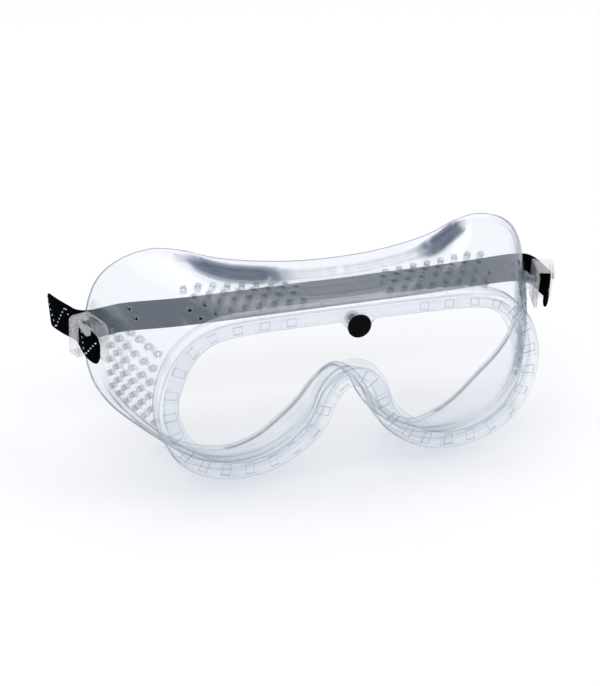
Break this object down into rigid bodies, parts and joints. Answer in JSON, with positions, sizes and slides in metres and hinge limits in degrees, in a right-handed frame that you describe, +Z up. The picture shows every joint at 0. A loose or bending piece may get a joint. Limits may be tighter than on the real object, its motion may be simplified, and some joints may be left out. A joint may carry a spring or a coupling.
{
  "type": "safety goggles",
  "caption": "Direct-vent safety goggles: soft clear frame with flat lens, swivelling side buckles and elastic headband.",
  "frame": {"origin": "on the floor plane, under the middle of the whole object's box", "axes": "+X along the width, towards the wearer's left hand; +Y from the lens back towards the face; +Z up"},
  "size_m": [0.2078, 0.0795, 0.0875],
  "materials": {
    "clear_pvc": "soft clear vinyl, glossy",
    "clear_lens": "clear polished sheet",
    "black_plastic": "matt black moulding",
    "natural_plastic": "natural translucent moulding",
    "clear_buckle_plastic": "clear glossy moulding",
    "black_webbing": "woven elastic with light tracer stitches"
  },
  "bodies": {
    "frame": {"frame_body": "clear_pvc", "lens": "clear_lens", "lens_stud": "black_plastic", "stud_retainer": "natural_plastic"},
    "left_buckle": {"left_buckle": "clear_buckle_plastic"},
    "right_buckle": {"right_buckle": "clear_buckle_plastic"},
    "headband": {"headband": "black_webbing"}
  },
  "joints": [
    {"name": "left_buckle_swivel", "type": "hinge", "parent": "frame", "child": "left_buckle", "pos_m": [-0.0937, 0.00252, 0.0577], "axis": [1, 0, 0], "range_deg": [-30, 30]},
    {"name": "right_buckle_swivel", "type": "hinge", "parent": "frame", "child": "right_buckle", "pos_m": [0.0937, 0.00252, 0.0577], "axis": [1, 0, 0], "range_deg": [-30, 30]},
    {"name": "headband_adjust", "type": "slide", "parent": "left_buckle", "child": "headband", "axis": [0, 1, 0], "range_m": [0, 0.003]}
  ],
  "couplings": [
    {"joint": "right_buckle_swivel", "follows": "left_buckle_swivel", "ratio": 1}
  ]
}
